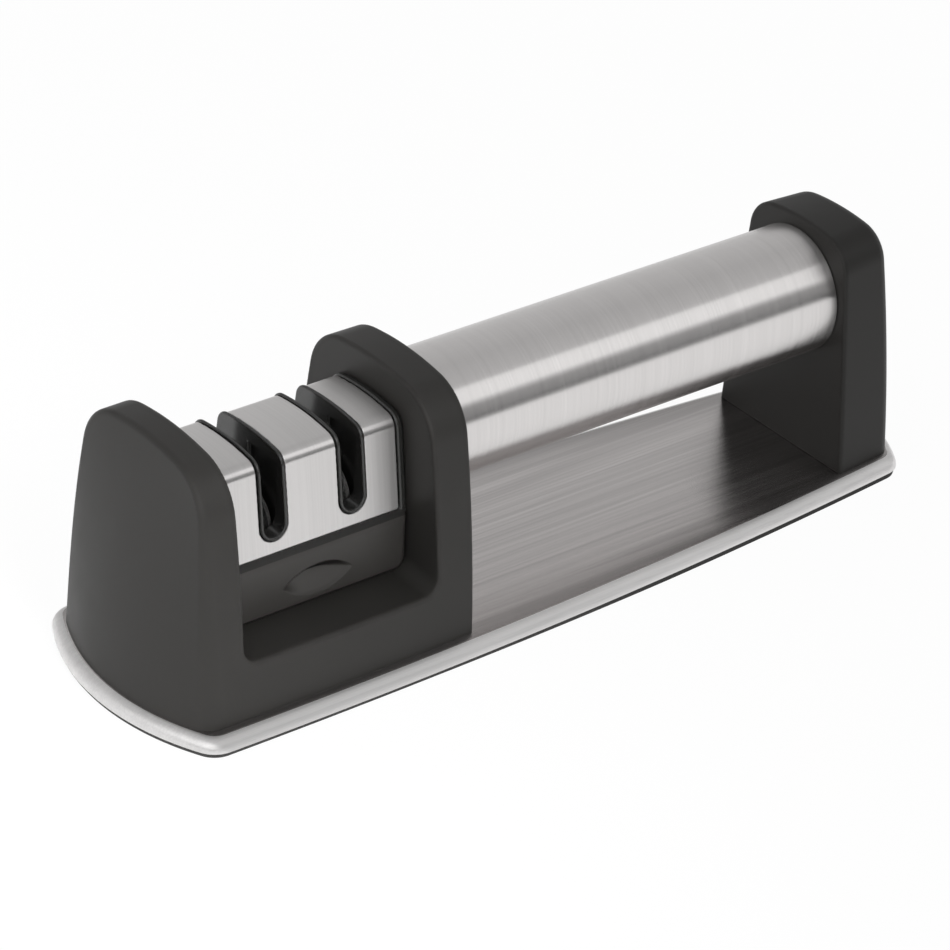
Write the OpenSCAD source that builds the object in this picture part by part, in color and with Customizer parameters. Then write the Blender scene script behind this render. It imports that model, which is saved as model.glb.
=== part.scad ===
// Pull through knife sharpener with a lift-out two-slot head and a tubular handle.
// Millimetres. X runs along the object, with the sharpening head at -X and the rear post at +X.
// Z is up. The origin is on the table, under the middle of the base.

/* [Base] */
// Length of the steel base plate
plate_l = 210; // [200:1:225]
// Width of the base plate where it is widest
plate_w = 62.4; // [60:0.2:68]
// Distance of the widest place from the sharpening end
widest_from_end = 42; // [30:1:60]
// Radius of the bowed long sides
side_r = 1535; // [1200:5:2400]
// Radius of the rounded sharpening end
head_end_r = 58.3; // [52:0.1:75]
// Radius of the rounded handle end
post_end_r = 36.8; // [34:0.1:50]
// Corner radius of the base plate in plan
plate_corner_r = 6.1; // [4:0.1:8]
// Thickness of the non-slip mat under the base
mat_t = 1.6; // [1:0.1:2.2]
// How far the mat stays inside the plate's edge
mat_in = 0.4; // [0.3:0.1:1.5]
// Height of the pressed steel tray
tray_h = 3.1; // [2.8:0.1:4]
// Width of the tray's rounded rim
rim_w = 3.1; // [2.4:0.1:3.6]
// Thickness of the steel sheet
sheet_t = 0.8; // [0.5:0.1:1]

/* [Head housing] */
// Height of the head's walls above the table
head_top = 61.7; // [60.6:0.1:66]
// Thickness of the end wall at its foot, in its middle
end_wall_t = 16.2; // [15:0.1:18]
// Thickness of the end wall at its crown
end_crown_t = 7.5; // [6.5:0.1:9]
// Length of the bay between the two walls
bay_l = 49; // [47:0.1:54]
// Thickness of the wall at the handle
partition_t = 9.3; // [8.5:0.1:12]
// Height of the sill that carries the lift-out head
sill_top = 17.4; // [16.4:0.1:18.6]
// Radius where the sill runs up into the walls
sill_r = 3.6; // [2.5:0.1:4.5]
// How far the head stays inside the plate's long sides
head_side_in = 4; // [3:0.1:5]
// How far the head and the post stay inside the plate's ends
end_in = 2.7; // [2:0.1:4]
// Lean of the head's side walls at the foot, in degrees
head_draft = 2.4; // [1:0.1:3.4]
// Radius of the head's bulging side walls
head_bow_r = 350; // [300:5:600]
// Shoulder radius of the head's walls
head_shoulder_r = 12.4; // [9:0.1:13.6]
// Radius of the head's crown
head_crown_r = 75; // [60:1:110]
// Edge radius of the sharpening end face, at its foot
end_foot_r = 3.2; // [2:0.1:4]
// Edge radius of the sharpening end face, at its crown
end_crown_r = 1; // [0.6:0.1:1.8]
// Depth of the pocket under the sill
well_depth = 10.2; // [8:0.1:11]

/* [Rear post] */
// Height of the rear post above the table
post_top = 60.9; // [60:0.1:65]
// Thickness of the rear post at its foot, in its middle
post_t = 21.4; // [20:0.1:25]
// Thickness of the rear post at its crown
post_crown_t = 13.4; // [11.5:0.1:15]
// How far the post stays inside the plate's long sides
post_side_in = 3.5; // [3:0.1:4.5]
// Lean of the post's sides, in degrees
post_draft = 4.5; // [3:0.1:5]
// Radius of the post's slightly bulging sides
post_bow_r = 1600; // [900:10:2500]
// Shoulder radius of the post
post_shoulder_r = 8.3; // [6:0.1:9]
// Radius of the post's crown
post_crown_r = 60; // [45:1:90]
// Edge radius of the post's outer face, at its foot
post_foot_r = 1.2; // [0.8:0.1:2.5]
// Edge radius of the post's outer face, at its crown
post_edge_r = 3; // [2:0.1:3.5]
// Small edge radius of the flat faces at the handle
face_edge_r = 0.8; // [0.5:0.1:1.6]

/* [Handle] */
// Outer diameter of the handle tube
tube_d = 29.7; // [28:0.1:31]
// Wall of the handle tube
tube_t = 1; // [0.8:0.1:1.5]
// Height of the handle's axis above the table
tube_z = 43.3; // [41.8:0.1:43.7]
// Length of the spigots that plug into the tube
spigot_l = 5; // [4:0.5:8]
// Diameter of the tie bolt through the handle
tie_d = 5; // [4:0.5:6]

/* [Lift-out head] */
// Gap between the lift-out head and the bay, at each end
cart_gap = 0.3; // [0.2:0.05:0.5]
// Half depth of the black grip panel
panel_half = 15.2; // [14.6:0.1:17]
// Height of the grip panel
panel_h = 13.5; // [12.6:0.1:14.6]
// Half depth of the steel skin at its lower edge
skin_half = 13.8; // [13.4:0.1:14.5]
// Height of the steel skin above the panel
skin_h = 21.6; // [20.5:0.1:22.5]
// Lean of the skin's front and back, in degrees
skin_lean = 7.4; // [5:0.1:9]
// Fold radius of the skin
fold_r = 3.2; // [2:0.1:3.8]
// Radius of the skin's crown
skin_crown_r = 60; // [45:1:90]
// Width of the raised lips at the ends of the skin
end_lip_w = 1.7; // [1.2:0.1:2.4]
// How far the lips stand above the skin
lip_proud = 0.4; // [0.2:0.1:0.7]
// Distance between the two knife slots
slot_pitch = 19.9; // [18.5:0.1:21]
// How far the slots sit nearer the handle than the bay's middle
slot_shift = 1.1; // [0:0.1:1.5]
// Clear width of a knife slot
slot_w = 5.1; // [4.7:0.1:5.6]
// Width of the raised lip round a slot
slot_lip_w = 1.1; // [0.8:0.1:1.4]
// Height of a slot's lip above the skin's lower edge
slot_rise = 2.6; // [2:0.1:4]
// Width of the thumb recess
grip_w = 17.2; // [14:0.1:20]
// Height of the thumb recess
grip_h = 6.8; // [5:0.1:7.6]
// Depth of the thumb recess at its upper edge
grip_depth = 1.8; // [1:0.1:2.2]

/* [Wheels] */
// Outer diameter of the abrasive wheels
wheel_d = 18; // [16:0.2:18.4]
// Diameter at the bottom of the V between two wheels
root_d = 9; // [8:0.2:10]
// Angle of one flank of the V, in degrees
flank_deg = 20; // [15:0.5:21]
// Width of a wheel's plain rim
wheel_land = 1; // [0.6:0.1:1.2]
// Diameter of the wheel axle
axle_d = 4; // [3:0.1:5]
// Radial running clearance of the wheels on the axle
run_gap = 0.05; // [0.03:0.01:0.09]
// Thickness of the washers beside the wheels
washer_t = 0.5; // [0.4:0.1:0.8]

/* [Fasteners] */
// Shank diameter of the screws through the base
screw_d = 3.5; // [3:0.1:4]
// Head diameter of the screws through the base
screw_head_d = 6.4; // [5.6:0.1:7]
// Length of the screws above the plate
screw_l = 10; // [8:0.5:14]
// Shank diameter of the small screws in the lift-out head
small_screw_d = 2.4; // [2:0.1:2.8]

/* [Hidden] */

steel = "#c3c1bd";
plastic = "#474643";
rubber = "#2b2a29";
zinc = "#a9abad";
brass = "#b59a57";
coarse_grit = "#6e6c6a";
fine_grit = "#d9d6cf";

round_fn = 72;
// Clearance between pieces that seat in each other without moving
seat_gap = 0.05;
// Clearance between a fixed piece and the hole that it drops into
hole_gap = 0.25;
// Gap between neighbours that move past each other
move_gap = 0.3;
over = 1;

plate_top = mat_t + tray_h;
head_x0 = -plate_l/2 + end_in;
bay_x0 = head_x0 + end_wall_t;
bay_x1 = bay_x0 + bay_l;
part_x1 = bay_x1 + partition_t;
post_x1 = plate_l/2 - end_in;
post_x0 = post_x1 - post_t;

// Centres of the circles that the plan outline is drawn from
widest_x = -plate_l/2 + widest_from_end;
side_c = [widest_x, plate_w/2 - side_r];
head_c = [-plate_l/2 + head_end_r, 0];
post_c = [plate_l/2 - post_end_r, 0];

// Places of the lift-out head
cart_x0 = bay_x0 + cart_gap;
cart_x1 = bay_x1 - cart_gap;
panel_z0 = sill_top + move_gap;
// The panel's upper edge slopes up to the ledge that the skin stands on
ledge_rise = 1.3;
skin_z = panel_z0 + panel_h + ledge_rise;
skin_top = skin_z + skin_h;
skin_x0 = cart_x0 + end_lip_w;
skin_x1 = cart_x1 - end_lip_w;
slot_mid = (bay_x0 + bay_x1)/2 + slot_shift;
slot_xs = [slot_mid - slot_pitch/2, slot_mid + slot_pitch/2];
slot_r = slot_w/2;
lip_r = slot_r + slot_lip_w;
slot_z = skin_z + slot_rise + lip_r;
// The pocket under the sill, and the plug of the lift-out head that stands in it
well_z = sill_top - well_depth;
well_side = 3;
well_half = 12.5;
well_r = 2;
plug_gap = 0.35;
plug_z = well_z + 0.5;
cover_t = 2.5;
plug_x0 = bay_x0 + well_side + plug_gap;
plug_x1 = bay_x1 - well_side - plug_gap;
plug_half = well_half - plug_gap;

// Places of the wheels
wheel_gap = move_gap;
flank_w = (wheel_d - root_d)/2*tan(flank_deg);
wheel_w = flank_w + wheel_land;
hub_r = axle_d/2 + 2.2;
washer_r = hub_r - 0.6;
// Depth of the groove round the hub, and the small bevel of the rim
dish = 0.5;
bevel = 0.3;
chamber_half = wheel_gap/2 + wheel_w + move_gap + washer_t;
chamber_half_y = wheel_d/2 + 0.6;
// The blade's edge stops a little above the bottom of the slot's front opening
edge_rise = 1.6;
edge_z = slot_z - slot_r + edge_rise;
axle_z = edge_z - root_d/2;
// The chamber clears the wheels at the back and is taller in its front half
chamber_back_top = axle_z + wheel_d/2 + 2;
chamber_front_top = skin_top - 3;
chamber_step_y = 0.6;
// The axle goes in from the bay's far end and stops at a wall
axle_sunk = 0.5;
axle_wall = 3;
axle_x0 = cart_x0 + axle_sunk;
axle_x1 = cart_x1 - axle_wall;

// Places of the screws
frame_t = tray_h - sheet_t;
screw_head_h = frame_t*0.65;
end_wall_screw_x = head_x0 + end_wall_t/2;
part_screw_x = (bay_x1 + part_x1)/2;
head_screw_at = [
    [end_wall_screw_x, 13], [end_wall_screw_x, -13],
    [part_screw_x, 16], [part_screw_x, -16]
];
post_screw_x = (post_x0 + post_x1)/2;
post_screw_at = [[post_screw_x, 9], [post_screw_x, -9]];
small_head_r = small_screw_d*0.95;
small_head_h = 1.3;
small_screw_l = 8;
cart_screw_xs = [(plug_x0 + slot_xs[0] - chamber_half)/2, (plug_x1 + slot_xs[1] + chamber_half)/2];
cart_screw_y = 7;

// Places along the tie bolt
tube_r = tube_d/2;
bore_r = tube_r - tube_t;
spigot_r = bore_r - 0.15;
tie_head_r = tie_d*0.84;
tie_head_h = tie_d*0.6;
tie_key_r = tie_d*0.46;
tie_washer_r = tie_head_r + 0.9;
tie_washer_t = 1;
tie_sunk = 0.4;
tie_seat_x = bay_x1 + tie_sunk + tie_head_h + tie_washer_t;
insert_r = tie_d/2 + 1.5;
insert_x0 = post_x0 - spigot_l;
insert_l = 14;
tie_end_x = insert_x0 + insert_l - 2;

// Cores of the mouldings
core_wall = 2.4;
head_core_half = 18;
post_core_half = 11;
core_top = tube_z - tube_r;

// Half width of the base plate at x
function plate_half(x) = side_c[1] + sqrt(side_r*side_r - pow(x - side_c[0], 2));

// Points on an arc, without the last one
function arc(c, r, a0, a1, n) = [for (i = [0:n - 1]) let (a = a0 + (a1 - a0)*i/n) c + r*[cos(a), sin(a)]];

// Where two circles meet, on the side of the line between them that side picks
function meet(c1, r1, c2, r2, side) =
    let (
        d = norm(c2 - c1),
        u = (c2 - c1)/d,
        a = (r1*r1 - r2*r2 + d*d)/(2*d)
    )
    c1 + a*u + side*sqrt(r1*r1 - a*a)*[-u[1], u[0]];

function heading(from, to) = atan2(to[1] - from[1], to[0] - from[0]);

// Plan outline of the base, drawn in from the plate's edge by inset
function plan(inset) =
    let (
        r = max(plate_corner_r - inset, 1),
        in = inset + r,
        kp = meet(side_c, side_r - in, post_c, post_end_r - in, -1),
        kh = meet(side_c, side_r - in, head_c, head_end_r - in, 1),
        half = concat(
            arc(post_c, post_end_r - inset, 0, heading(post_c, kp), 8),
            arc(kp, r, heading(post_c, kp), heading(side_c, kp), 6),
            arc(side_c, side_r - inset, heading(side_c, kp), heading(side_c, kh), 14),
            arc(kh, r, heading(side_c, kh), heading(head_c, kh), 6),
            arc(head_c, head_end_r - inset, heading(head_c, kh), 180, 10)
        ),
        n = len(half)
    )
    concat(half, [[head_c[0] - head_end_r + inset, 0]], [for (i = [n - 1:-1:1]) [half[i][0], -half[i][1]]]);

// Right half of a crowned section, from the foot up to the middle of the crown.
// A form is [foot height, lean, side radius, shoulder radius, crown radius, top height].
function crowned_half(half_w, form, inset) =
    let (
        foot = form[0], lean = form[1], bow = form[2], shoulder = form[3], crown = form[4],
        sc = [half_w - bow*cos(lean), foot - bow*sin(lean)],
        cc = [0, form[5] - crown],
        k = meet(sc, bow - shoulder, cc, crown - shoulder, 1),
        foot_a = asin(bow*sin(lean)/(bow - inset))
    )
    concat(
        arc(sc, bow - inset, foot_a, heading(sc, k), 6),
        arc(k, shoulder - inset, heading(sc, k), heading(cc, k), 9),
        arc(cc, crown - inset, heading(cc, k), 90, 6),
        [[0, form[5] - inset]]
    );

function mirrored(half) =
    let (n = len(half)) concat(half, [for (i = [n - 2:-1:0]) [-half[i][0], half[i][1]]]);

// Share of the height from the foot to the top of a form
function rise_at(form, z) = (z - form[0])/(form[5] - form[0]);

// An end face runs straight up from an arc at its foot to a straight edge at its crown.
// This gives its distance along the object, at a place to the side and a height.
function face_at(form, end, y, z) =
    let (c = end[0], r = end[1], crown_x = end[2], t = rise_at(form, z))
    t*crown_x + (1 - t)*(c + sqrt(r*r - y*y));

// Where a core ends behind an end face, to the nearest tenth of a millimetre
function core_end(form, end, half) = round(10*(face_at(form, end, half, core_top) - core_wall))/10;

head_form = [plate_top, head_draft, head_bow_r, head_shoulder_r, head_crown_r, head_top];
post_form = [plate_top, post_draft, post_bow_r, post_shoulder_r, post_crown_r, post_top];
skin_form = [skin_z, skin_lean, 1500, fold_r, skin_crown_r, skin_top];

// An end is [centre of the arc at the foot, its radius, distance of the crown's edge,
// edge radius at the foot, edge radius at the crown]
head_end = [-head_c[0], head_end_r - end_in, end_crown_t - bay_x0, end_foot_r, end_crown_r];
post_end = [post_c[0], post_end_r - end_in, post_x0 + post_crown_t, post_foot_r, post_edge_r];

// Rows of points stacked in z, closed at both ends
module stack(rings) {
    n = len(rings[0]);
    m = len(rings);
    polyhedron(
        points = [for (r = rings) each r],
        faces = concat(
            [[for (i = [0:n - 1]) i]],
            [for (k = [0:m - 2], i = [0:n - 1]) let (j = (i + 1)%n) each [
                [k*n + i, (k + 1)*n + j, k*n + j],
                [k*n + i, (k + 1)*n + i, (k + 1)*n + j]
            ]],
            [[for (i = [n - 1:-1:0]) (m - 1)*n + i]]
        )
    );
}

// A crowned block with a rounded end face, drawn with that face towards +X.
// turn is -1 for the block at the sharpening end, which is then mirrored.
module crowned_block(turn, form, side_in, end, flat_x, stations) {
    corner_x = face_at(form, end, plate_half(turn*end[0]) - side_in, form[0]);
    function face_x(y, z) = face_at(form, end, y, z);
    function width(x) = plate_half(turn*x) - side_in;
    function section(w, inset) = mirrored(crowned_half(w, form, inset));
    function edge_at(z) = end[3] + (end[4] - end[3])*rise_at(form, z);
    edge = section(width(corner_x), 0);
    inward = section(width(corner_x), 1) - edge;
    steps = 5;
    face_rings = [for (k = [0:steps]) let (a = 90*k/steps)
        [for (i = [0:len(edge) - 1])
            let (r = edge_at(edge[i][1]), p = edge[i] + r*(1 - sin(a))*inward[i])
            [face_x(p[0], p[1]) - r*(1 - cos(a)), p[0], p[1]]]];
    body_rings = [for (x = stations) [for (p = section(width(x), 0)) [x, p[0], p[1]]]];
    flat_rings = [for (k = [0:3]) let (a = 30*k)
        [for (p = section(width(flat_x), face_edge_r*(1 - cos(a))))
            [flat_x + face_edge_r*(1 - sin(a)), p[0], p[1]]]];
    rings = concat(face_rings, body_rings, flat_rings);
    n = len(rings[0]);
    m = len(rings);
    rows = (n - 1)/2;
    cols = 8;
    cap = [for (j = [0:rows - 1], i = [1:cols - 1]) let (p = rings[0][j], y = p[1]*(1 - 2*i/cols))
        [face_x(y, p[2]), y, p[2]]];
    // Column 0 of the end face is its right edge and the last column is its left edge
    function at(j, i) = j == rows ? rows : i == 0 ? j : i == cols ? n - 1 - j : m*n + j*(cols - 1) + i - 1;
    polyhedron(
        points = concat([for (r = rings) each r], cap),
        faces = concat(
            [for (j = [0:rows - 2], i = [0:cols - 1]) each [
                [at(j, i), at(j, i + 1), at(j + 1, i + 1)],
                [at(j, i), at(j + 1, i + 1), at(j + 1, i)]
            ]],
            [for (i = [0:cols - 1]) [at(rows - 1, i), at(rows - 1, i + 1), rows]],
            [for (k = [0:m - 2], i = [0:n - 2]) each [
                [k*n + i, k*n + i + 1, (k + 1)*n + i + 1],
                [k*n + i, (k + 1)*n + i + 1, (k + 1)*n + i]
            ]],
            [[for (i = [0:n - 1]) (m - 1)*n + i]],
            [concat(
                [for (k = [0:m - 1]) k*n],
                [for (k = [m - 1:-1:0]) k*n + n - 1],
                [for (i = [cols - 1:-1:1]) at(0, i)]
            )]
        )
    );
}

module rounded_box(size, r) {
    hx = size[0]/2 - r;
    hy = size[1]/2 - r;
    square([size[0], 2*hy], center = true);
    square([2*hx, size[1]], center = true);
    for (x = [-hx, hx], y = [-hy, hy]) translate([x, y]) circle(r, $fn = round_fn);
}

// A plate standing in the XZ plane, from y0 to y1
module along_y(y0, y1) {
    translate([0, y1, 0]) rotate([90, 0, 0]) linear_extrude(y1 - y0) children();
}

// A section in the YZ plane, from x0 to x1
module along_x(x0, x1) {
    translate([x0, 0, 0]) rotate([90, 0, 90]) linear_extrude(x1 - x0) children();
}

module rod_x(r, x0, x1) {
    translate([x0, 0, 0]) rotate([0, 90, 0]) cylinder(r = r, h = x1 - x0, $fn = round_fn);
}

// The rounded rim of the tray, thinned by t
function tray_rings(t) = [for (k = [0:5]) let (a = 18*k)
    [for (p = plan(t + (rim_w - t)*(1 - cos(a)))) [p[0], p[1], mat_t + (tray_h - t)*sin(a)]]];

module screw(r, head_r, head_h, z0, z1) {
    translate([0, 0, z0]) cylinder(r = head_r, h = head_h, $fn = round_fn);
    translate([0, 0, z0]) cylinder(r = r, h = z1 - z0, $fn = round_fn);
}

module at_each(places) {
    for (p = places) translate([p[0], p[1], 0]) children();
}

module base_mat() {
    color(rubber) linear_extrude(mat_t) polygon(plan(mat_in));
}

module base_frame() {
    color(plastic) difference() {
        translate([0, 0, mat_t]) linear_extrude(frame_t) polygon(plan(rim_w + move_gap));
        at_each(concat(head_screw_at, post_screw_at)) {
            cylinder(r = screw_d/2 + hole_gap, h = plate_top + over, $fn = round_fn);
            cylinder(r = screw_head_d/2 + hole_gap, h = mat_t + screw_head_h, $fn = round_fn);
        }
    }
}

module base_plate() {
    color(steel) difference() {
        stack(tray_rings(0));
        stack(tray_rings(sheet_t));
        at_each(concat(head_screw_at, post_screw_at))
            cylinder(r = screw_d/2 + hole_gap, h = plate_top + over, $fn = round_fn);
    }
}

module base_screw() {
    screw(screw_d/2, screw_head_d/2, screw_head_h, mat_t, plate_top + screw_l);
}

module head_screws() {
    color(zinc) at_each(head_screw_at) base_screw();
}

module post_screws() {
    color(zinc) at_each(post_screw_at) base_screw();
}

// Blind hole in a boss for one of the screws through the base
module screw_bores(places) {
    at_each(places) translate([0, 0, plate_top - over])
        cylinder(r = screw_d/2 + seat_gap, h = over + screw_l + 1, $fn = round_fn);
}

// Coring from below that leaves bosses round the screws
module coring(x0, x1, half, places) {
    boss_r = screw_d/2 + 2;
    core_r = 1.5;
    translate([0, 0, plate_top - over]) linear_extrude(core_top - plate_top + over) difference() {
        translate([(x0 + x1)/2, 0]) rounded_box([x1 - x0, 2*half], core_r);
        at_each(places) circle(boss_r, $fn = round_fn);
    }
}

module bay_cut() {
    cut_h = head_top - sill_top + over;
    along_y(-plate_w, plate_w) {
        translate([bay_x0, sill_top + sill_r]) square([bay_l, cut_h - sill_r]);
        translate([bay_x0 + sill_r, sill_top]) square([bay_l - 2*sill_r, cut_h]);
        for (x = [bay_x0 + sill_r, bay_x1 - sill_r])
            translate([x, sill_top + sill_r]) circle(sill_r, $fn = round_fn);
    }
    translate([(bay_x0 + bay_x1)/2, 0, well_z]) linear_extrude(well_depth + over)
        rounded_box([bay_l - 2*well_side, 2*well_half], well_r);
}

module head_housing() {
    color(plastic) difference() {
        union() {
            mirror([1, 0, 0])
                crowned_block(-1, head_form, head_side_in, head_end,
                    -part_x1, [-bay_x0, -widest_x, -bay_x1]);
            translate([0, 0, tube_z]) rod_x(spigot_r, part_x1 - 1, part_x1 + spigot_l);
        }
        bay_cut();
        coring(-core_end(head_form, head_end, head_core_half), bay_x0 - core_wall, head_core_half, head_screw_at);
        coring(bay_x1 + core_wall, part_x1 - core_wall, head_core_half, head_screw_at);
        screw_bores(head_screw_at);
        translate([0, 0, tube_z]) {
            rod_x(tie_washer_r + move_gap, bay_x1 - over, tie_seat_x);
            rod_x(tie_d/2 + hole_gap, bay_x1, part_x1 + spigot_l + over);
        }
    }
}

module rear_post() {
    color(plastic) difference() {
        union() {
            crowned_block(1, post_form, post_side_in, post_end, post_x0, [post_x0 + post_crown_t/2]);
            translate([0, 0, tube_z]) rod_x(spigot_r, post_x0 - spigot_l, post_x0 + 1);
        }
        coring(post_x0 + core_wall, core_end(post_form, post_end, post_core_half), post_core_half, post_screw_at);
        screw_bores(post_screw_at);
        translate([0, 0, tube_z]) rod_x(insert_r + seat_gap, insert_x0 - over, insert_x0 + insert_l);
    }
}

module handle_tube() {
    color(steel) translate([0, 0, tube_z]) difference() {
        rod_x(tube_r, part_x1, post_x0);
        rod_x(bore_r, part_x1 - over, post_x0 + over);
    }
}

module tie_bolt() {
    head_x = tie_seat_x - tie_washer_t - tie_head_h;
    color(zinc) translate([0, 0, tube_z]) difference() {
        union() {
            rod_x(tie_head_r, head_x, head_x + tie_head_h);
            rod_x(tie_d/2, head_x, tie_end_x);
        }
        rotate([0, 90, 0]) translate([0, 0, head_x - over])
            cylinder(r = tie_key_r, h = over + tie_head_h*0.6, $fn = 6);
    }
}

module tie_washer() {
    color(zinc) translate([0, 0, tube_z]) difference() {
        rod_x(tie_washer_r, tie_seat_x - tie_washer_t, tie_seat_x);
        rod_x(tie_d/2 + seat_gap, bay_x1, part_x1);
    }
}

module tie_insert() {
    color(brass) translate([0, 0, tube_z]) difference() {
        rod_x(insert_r, insert_x0, insert_x0 + insert_l);
        rod_x(tie_d/2 + seat_gap, insert_x0 - over, insert_x0 + insert_l + over);
    }
}

// Outline of the lift-out head's upper part, drawn in by inset and carried down by drop
module skin_section(inset, drop) {
    half = crowned_half(skin_half, skin_form, inset);
    foot = [half[0][0], skin_z - drop];
    polygon(concat([foot], mirrored(half), [[-foot[0], foot[1]]]));
}

// A U-shaped slot seen from the front, open at the top
module slot_shape(r) {
    translate([0, slot_z]) circle(r, $fn = round_fn);
    translate([-r, slot_z]) square([2*r, skin_top - slot_z + 2*over]);
}

module at_slots() {
    for (x = slot_xs) translate([x, 0, 0]) children();
}

// The grip panel, which stands proud of the skin and rests on the sill
module grip_panel() {
    corner_r = sill_r - cart_gap;
    edge_h = panel_z0 + panel_h;
    intersection() {
        along_x(cart_x0, cart_x1) polygon([
            [panel_half, panel_z0], [panel_half, edge_h], [skin_half, skin_z],
            [-skin_half, skin_z], [-panel_half, edge_h], [-panel_half, panel_z0]
        ]);
        along_y(-plate_w, plate_w) {
            translate([cart_x0, panel_z0 + corner_r]) square([cart_x1 - cart_x0, panel_h]);
            translate([cart_x0 + corner_r, panel_z0]) square([cart_x1 - cart_x0 - 2*corner_r, panel_h]);
            for (x = [cart_x0 + corner_r, cart_x1 - corner_r])
                translate([x, panel_z0 + corner_r]) circle(corner_r, $fn = round_fn);
        }
    }
}

// A scoop for a finger: deep under its upper edge, running out at its lower edge
module grip_scoop() {
    chord = grip_w/2;
    rise = grip_h/2;
    lens_r = (chord*chord + rise*rise)/(2*rise);
    scoop_z = panel_z0 + panel_h*0.45;
    tilt = atan(grip_depth/grip_h);
    translate([slot_mid, -panel_half, scoop_z - rise]) intersection() {
        along_y(-over, panel_half) intersection() {
            translate([0, lens_r]) circle(lens_r, $fn = 2*round_fn);
            translate([0, grip_h - lens_r]) circle(lens_r, $fn = 2*round_fn);
        }
        rotate([-tilt, 0, 0]) translate([-grip_w, -2*grip_h, -grip_h]) cube([2*grip_w, 2*grip_h, 4*grip_h]);
    }
}

module cartridge_body() {
    color(plastic) difference() {
        union() {
            grip_panel();
            along_x(skin_x0 - over, skin_x1 + over) skin_section(sheet_t + seat_gap, 1);
            along_x(cart_x0, skin_x0 - seat_gap) skin_section(-lip_proud, 1);
            along_x(skin_x1 + seat_gap, cart_x1) skin_section(-lip_proud, 1);
            intersection() {
                along_x(skin_x0, skin_x1) skin_section(-lip_proud, 1);
                at_slots() along_y(-plate_w, plate_w) slot_shape(lip_r - seat_gap);
            }
            translate([(plug_x0 + plug_x1)/2, 0, plug_z + cover_t])
                linear_extrude(panel_z0 - plug_z - cover_t + over)
                rounded_box([plug_x1 - plug_x0, 2*plug_half], well_r);
        }
        at_slots() {
            along_y(-plate_w, plate_w) slot_shape(slot_r);
            translate([-chamber_half, -chamber_half_y, 0]) {
                cube([2*chamber_half, 2*chamber_half_y, chamber_back_top]);
                cube([2*chamber_half, chamber_half_y + chamber_step_y, chamber_front_top]);
            }
        }
        translate([0, 0, axle_z]) rod_x(axle_d/2 + seat_gap, cart_x0 - over, axle_x1);
        for (turn = [0, 180]) translate([slot_mid, 0, 0]) rotate([0, 0, turn]) translate([-slot_mid, 0, 0])
            grip_scoop();
        for (x = cart_screw_xs, y = [-cart_screw_y, cart_screw_y]) translate([x, y, 0])
            cylinder(r = small_screw_d/2 + seat_gap, h = plug_z + small_head_h + small_screw_l + 1, $fn = round_fn);
    }
}

module cartridge_cover() {
    color(steel) difference() {
        along_x(skin_x0, skin_x1) difference() {
            skin_section(0, 0);
            translate([0, -0.01]) skin_section(sheet_t, over);
        }
        at_slots() along_y(-plate_w, plate_w) slot_shape(lip_r);
    }
}

module cartridge_base() {
    color(plastic) difference() {
        translate([(plug_x0 + plug_x1)/2, 0, plug_z]) linear_extrude(cover_t)
            rounded_box([plug_x1 - plug_x0, 2*plug_half], well_r);
        for (x = cart_screw_xs, y = [-cart_screw_y, cart_screw_y]) translate([x, y, 0]) {
            cylinder(r = small_screw_d/2 + hole_gap, h = plug_z + cover_t + over, $fn = round_fn);
            cylinder(r = small_head_r + hole_gap, h = plug_z + small_head_h, $fn = round_fn);
        }
    }
}

module cartridge_screws() {
    color(zinc) for (x = cart_screw_xs, y = [-cart_screw_y, cart_screw_y]) translate([x, y, 0])
        screw(small_screw_d/2, small_head_r, small_head_h, plug_z, plug_z + small_head_h + small_screw_l);
}

module wheel_axle() {
    color(zinc) translate([0, 0, axle_z]) rod_x(axle_d/2, axle_x0, axle_x1 - 0.2);
}

module wheel_washers() {
    color(rubber) at_slots() for (side = [-1, 1])
        translate([side*(chamber_half - washer_t/2), 0, axle_z]) difference() {
            rod_x(washer_r, -washer_t/2, washer_t/2);
            rod_x(axle_d/2 + run_gap, -washer_t, washer_t);
        }
}

// One half of a wheel pair: a cone that narrows towards its partner, with a plain rim outside
module wheel(x, side) {
    bore = axle_d/2 + run_gap;
    wheel_r = wheel_d/2;
    dish_r = wheel_r - 1.4;
    floor_w = wheel_w - dish;
    translate([x + side*wheel_gap/2, 0, axle_z]) rotate([0, side*90, 0]) rotate_extrude($fn = 2*round_fn) polygon([
        [bore, 0], [root_d/2, 0], [wheel_r, flank_w], [wheel_r, wheel_w - bevel],
        [wheel_r - bevel, wheel_w], [dish_r, wheel_w], [dish_r - bevel, floor_w],
        [hub_r + bevel, floor_w], [hub_r, wheel_w], [bore, wheel_w]
    ]);
}

module coarse_wheel_left() { color(coarse_grit) wheel(slot_xs[0], -1); }
module coarse_wheel_right() { color(coarse_grit) wheel(slot_xs[0], 1); }
module fine_wheel_left() { color(fine_grit) wheel(slot_xs[1], -1); }
module fine_wheel_right() { color(fine_grit) wheel(slot_xs[1], 1); }

base_mat();
base_frame();
base_plate();
head_screws();
post_screws();
head_housing();
rear_post();
handle_tube();
tie_bolt();
tie_washer();
tie_insert();
cartridge_body();
cartridge_cover();
cartridge_base();
cartridge_screws();
wheel_axle();
wheel_washers();
coarse_wheel_left();
coarse_wheel_right();
fine_wheel_left();
fine_wheel_right();
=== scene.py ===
"""Looks of a pull through knife sharpener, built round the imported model.

Seven nodes of the model get finer meshes of the same form, and the others get a material. A form
is a field: negative inside the solid, and near its surface about the distance to it. Lengths in
the forms are in millimetres, in the model's frame. Meshes and materials are in metres.
"""
import math

import bmesh
import bpy
import numpy as np
from mathutils import Matrix, Vector


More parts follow.
